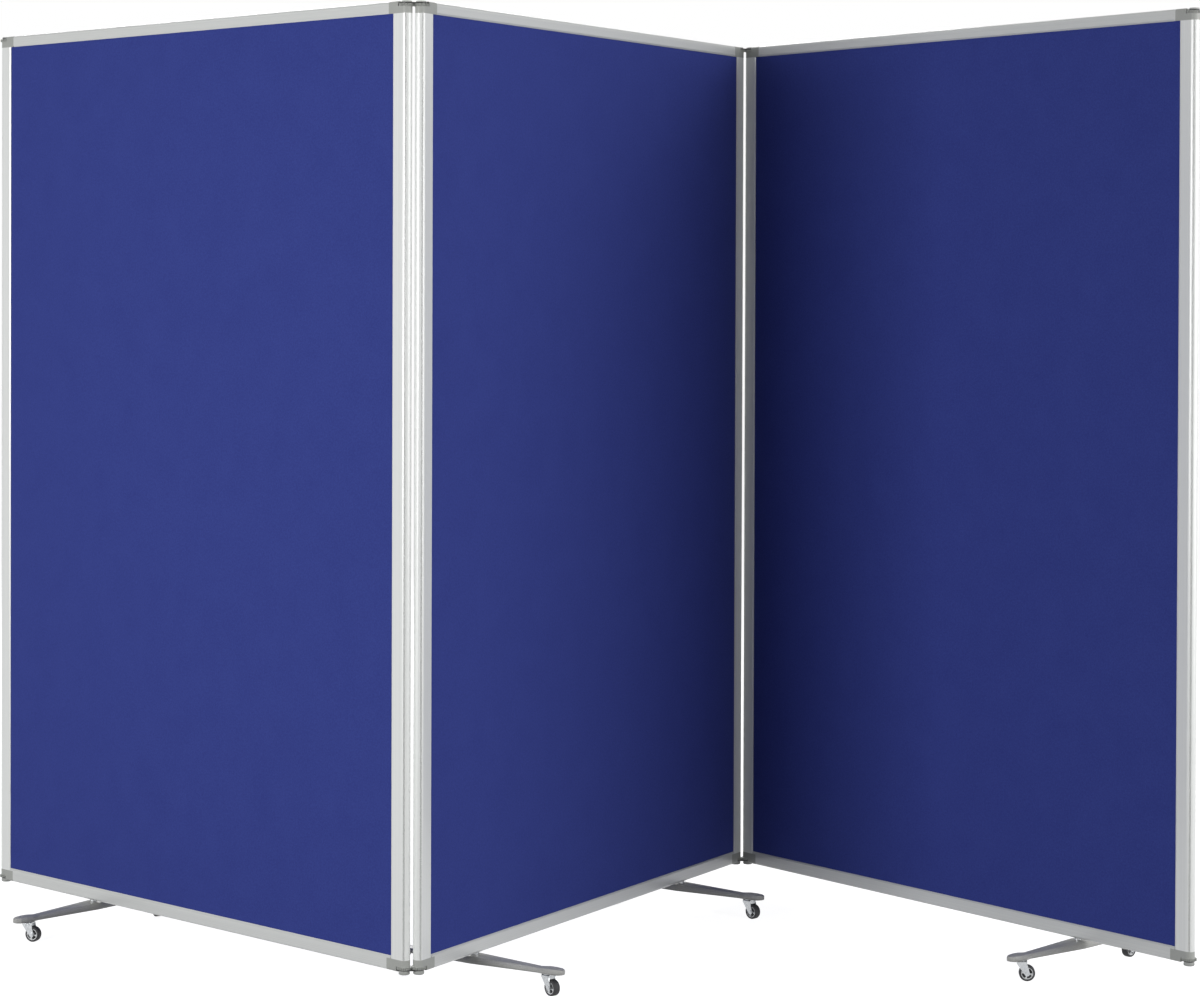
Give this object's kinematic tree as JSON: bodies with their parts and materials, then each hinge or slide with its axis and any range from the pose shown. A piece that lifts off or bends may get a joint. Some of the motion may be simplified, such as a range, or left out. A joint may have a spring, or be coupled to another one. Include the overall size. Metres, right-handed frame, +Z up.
{
  "type": "folding pinboard screen",
  "caption": "Free-standing folding pinboard screen: felt panels in aluminium frames joined edge to edge by geared hinges, on cross legs with swivel casters.",
  "frame": {"origin": "on the floor, under the middle of the screen's overall box", "axes": "+X along the row of panels to the right as seen from the front, +Y to the back, +Z up"},
  "size_m": [2.3226, 1.028, 1.8],
  "materials": {
    "felt": "needle felt, royal blue",
    "board": "raw soft fibreboard",
    "aluminium": "silver anodised",
    "corner_plastic": "moulded grey nylon",
    "cap_plastic": "moulded grey nylon",
    "black_steel": "satin black",
    "leg_metal": "grey powder coat on cast aluminium",
    "zinc": "bright zinc plate",
    "hub_plastic": "silver-grey moulded nylon",
    "tyre": "moulded dark grey rubber"
  },
  "bodies": {
    "middle_panel": {"middle_left_leg": "leg_metal", "middle_right_leg": "leg_metal", "middle_core_board": "board", "middle_felt_sheets": "felt", "middle_stiles": "aluminium", "middle_top_rail": "aluminium", "middle_bottom_rail": "aluminium", "middle_corner_bodies": "corner_plastic", "middle_gear_rings": "corner_plastic", "middle_axle_caps": "cap_plastic", "middle_foot_fixings": "zinc"},
    "left_link": {"left_link_plates": "black_steel"},
    "left_panel": {"left_leg": "leg_metal", "left_core_board": "board", "left_felt_sheets": "felt", "left_stiles": "aluminium", "left_top_rail": "aluminium", "left_bottom_rail": "aluminium", "left_corner_bodies": "corner_plastic", "left_gear_rings": "corner_plastic", "left_axle_caps": "cap_plastic", "left_spacer_washers": "black_steel", "left_foot_fixings": "zinc"},
    "right_link": {"right_link_plates": "black_steel"},
    "right_panel": {"right_leg": "leg_metal", "right_core_board": "board", "right_felt_sheets": "felt", "right_stiles": "aluminium", "right_top_rail": "aluminium", "right_bottom_rail": "aluminium", "right_corner_bodies": "corner_plastic", "right_gear_rings": "corner_plastic", "right_axle_caps": "cap_plastic", "right_spacer_washers": "black_steel", "right_foot_fixings": "zinc"},
    "left_front_fork": {"left_front_caster_fork": "zinc"},
    "left_front_wheel": {"left_front_caster_hub": "hub_plastic", "left_front_caster_tyre": "tyre"},
    "left_rear_fork": {"left_rear_caster_fork": "zinc"},
    "left_rear_wheel": {"left_rear_caster_hub": "hub_plastic", "left_rear_caster_tyre": "tyre"},
    "middle_left_front_fork": {"middle_left_front_caster_fork": "zinc"},
    "middle_left_front_wheel": {"middle_left_front_caster_hub": "hub_plastic", "middle_left_front_caster_tyre": "tyre"},
    "middle_left_rear_fork": {"middle_left_rear_caster_fork": "zinc"},
    "middle_left_rear_wheel": {"middle_left_rear_caster_hub": "hub_plastic", "middle_left_rear_caster_tyre": "tyre"},
    "middle_right_front_fork": {"middle_right_front_caster_fork": "zinc"},
    "middle_right_front_wheel": {"middle_right_front_caster_hub": "hub_plastic", "middle_right_front_caster_tyre": "tyre"},
    "middle_right_rear_fork": {"middle_right_rear_caster_fork": "zinc"},
    "middle_right_rear_wheel": {"middle_right_rear_caster_hub": "hub_plastic", "middle_right_rear_caster_tyre": "tyre"},
    "right_front_fork": {"right_front_caster_fork": "zinc"},
    "right_front_wheel": {"right_front_caster_hub": "hub_plastic", "right_front_caster_tyre": "tyre"},
    "right_rear_fork": {"right_rear_caster_fork": "zinc"},
    "right_rear_wheel": {"right_rear_caster_hub": "hub_plastic", "right_rear_caster_tyre": "tyre"}
  },
  "joints": [
    {"name": "left_link_fold", "type": "hinge", "parent": "middle_panel", "child": "left_link", "pos_m": [-0.25532, -0.49683, 0], "axis": [0, 0, -1], "range_deg": [-72.65, 39.85]},
    {"name": "left_panel_fold", "type": "hinge", "parent": "left_link", "child": "left_panel", "pos_m": [-0.2811, -0.5002, 0], "axis": [0, 0, -1], "range_deg": [-72.65, 39.85]},
    {"name": "right_link_fold", "type": "hinge", "parent": "middle_panel", "child": "right_link", "pos_m": [0.37642, 0.49864, 0], "axis": [0, 0, -1], "range_deg": [-76.7, 35.8]},
    {"name": "right_panel_fold", "type": "hinge", "parent": "right_link", "child": "right_panel", "pos_m": [0.40238, 0.50018, 0], "axis": [0, 0, -1], "range_deg": [-76.7, 35.8]},
    {"name": "left_front_swivel", "type": "hinge", "parent": "left_panel", "child": "left_front_fork", "pos_m": [-1.04515, -0.01287, 0], "axis": [0, 0, 1], "continuous": true},
    {"name": "left_front_roll", "type": "hinge", "parent": "left_front_fork", "child": "left_front_wheel", "pos_m": [-1.03468, -0.01627, 0.015], "axis": [0.309, 0.9511, 0], "continuous": true},
    {"name": "left_rear_swivel", "type": "hinge", "parent": "left_panel", "child": "left_rear_fork", "pos_m": [-0.82813, 0.22231, 0], "axis": [0, 0, 1], "continuous": true},
    {"name": "left_rear_roll", "type": "hinge", "parent": "left_rear_fork", "child": "left_rear_wheel", "pos_m": [-0.82264, 0.21278, 0.015], "axis": [0.866, 0.5, 0], "continuous": true},
    {"name": "middle_left_front_swivel", "type": "hinge", "parent": "middle_panel", "child": "middle_left_front_fork", "pos_m": [-0.0227, -0.42889, 0], "axis": [0, 0, 1], "continuous": true},
    {"name": "middle_left_front_roll", "type": "hinge", "parent": "middle_left_front_fork", "child": "middle_left_front_wheel", "pos_m": [-0.01534, -0.43707, 0.015], "axis": [0.7431, 0.6691, 0], "continuous": true},
    {"name": "middle_left_rear_swivel", "type": "hinge", "parent": "middle_panel", "child": "middle_left_rear_fork", "pos_m": [-0.29289, -0.25743, 0], "axis": [0, 0, 1], "continuous": true},
    {"name": "middle_left_rear_roll", "type": "hinge", "parent": "middle_left_rear_fork", "child": "middle_left_rear_wheel", "pos_m": [-0.30241, -0.25193, 0.015], "axis": [-0.5, -0.866, 0], "continuous": true},
    {"name": "middle_right_front_swivel", "type": "hinge", "parent": "middle_panel", "child": "middle_right_front_fork", "pos_m": [0.3856, 0.21449, 0], "axis": [0, 0, 1], "continuous": true},
    {"name": "middle_right_front_roll", "type": "hinge", "parent": "middle_right_front_fork", "child": "middle_right_front_wheel", "pos_m": [0.39351, 0.20685, 0.015], "axis": [0.6947, 0.7193, 0], "continuous": true},
    {"name": "middle_right_rear_swivel", "type": "hinge", "parent": "middle_panel", "child": "middle_right_rear_fork", "pos_m": [0.11541, 0.38595, 0], "axis": [0, 0, 1], "continuous": true},
    {"name": "middle_right_rear_roll", "type": "hinge", "parent": "middle_right_rear_fork", "child": "middle_right_rear_wheel", "pos_m": [0.10699, 0.39302, 0.015], "axis": [-0.6428, -0.766, 0], "continuous": true},
    {"name": "right_front_swivel", "type": "hinge", "parent": "right_panel", "child": "right_front_fork", "pos_m": [0.85733, -0.3108, 0], "axis": [0, 0, 1], "continuous": true},
    {"name": "right_front_roll", "type": "hinge", "parent": "right_front_fork", "child": "right_front_wheel", "pos_m": [0.86828, -0.31176, 0.015], "axis": [0.0872, 0.9962, 0], "continuous": true},
    {"name": "right_rear_swivel", "type": "hinge", "parent": "right_panel", "child": "right_rear_fork", "pos_m": [1.10531, -0.10855, 0], "axis": [0, 0, 1], "continuous": true},
    {"name": "right_rear_roll", "type": "hinge", "parent": "right_rear_fork", "child": "right_rear_wheel", "pos_m": [1.09701, -0.11576, 0.015], "axis": [0.6561, -0.7547, 0], "continuous": true}
  ],
  "couplings": [
    {"joint": "left_link_fold", "follows": "left_panel_fold", "ratio": 1},
    {"joint": "right_link_fold", "follows": "right_panel_fold", "ratio": 1}
  ]
}
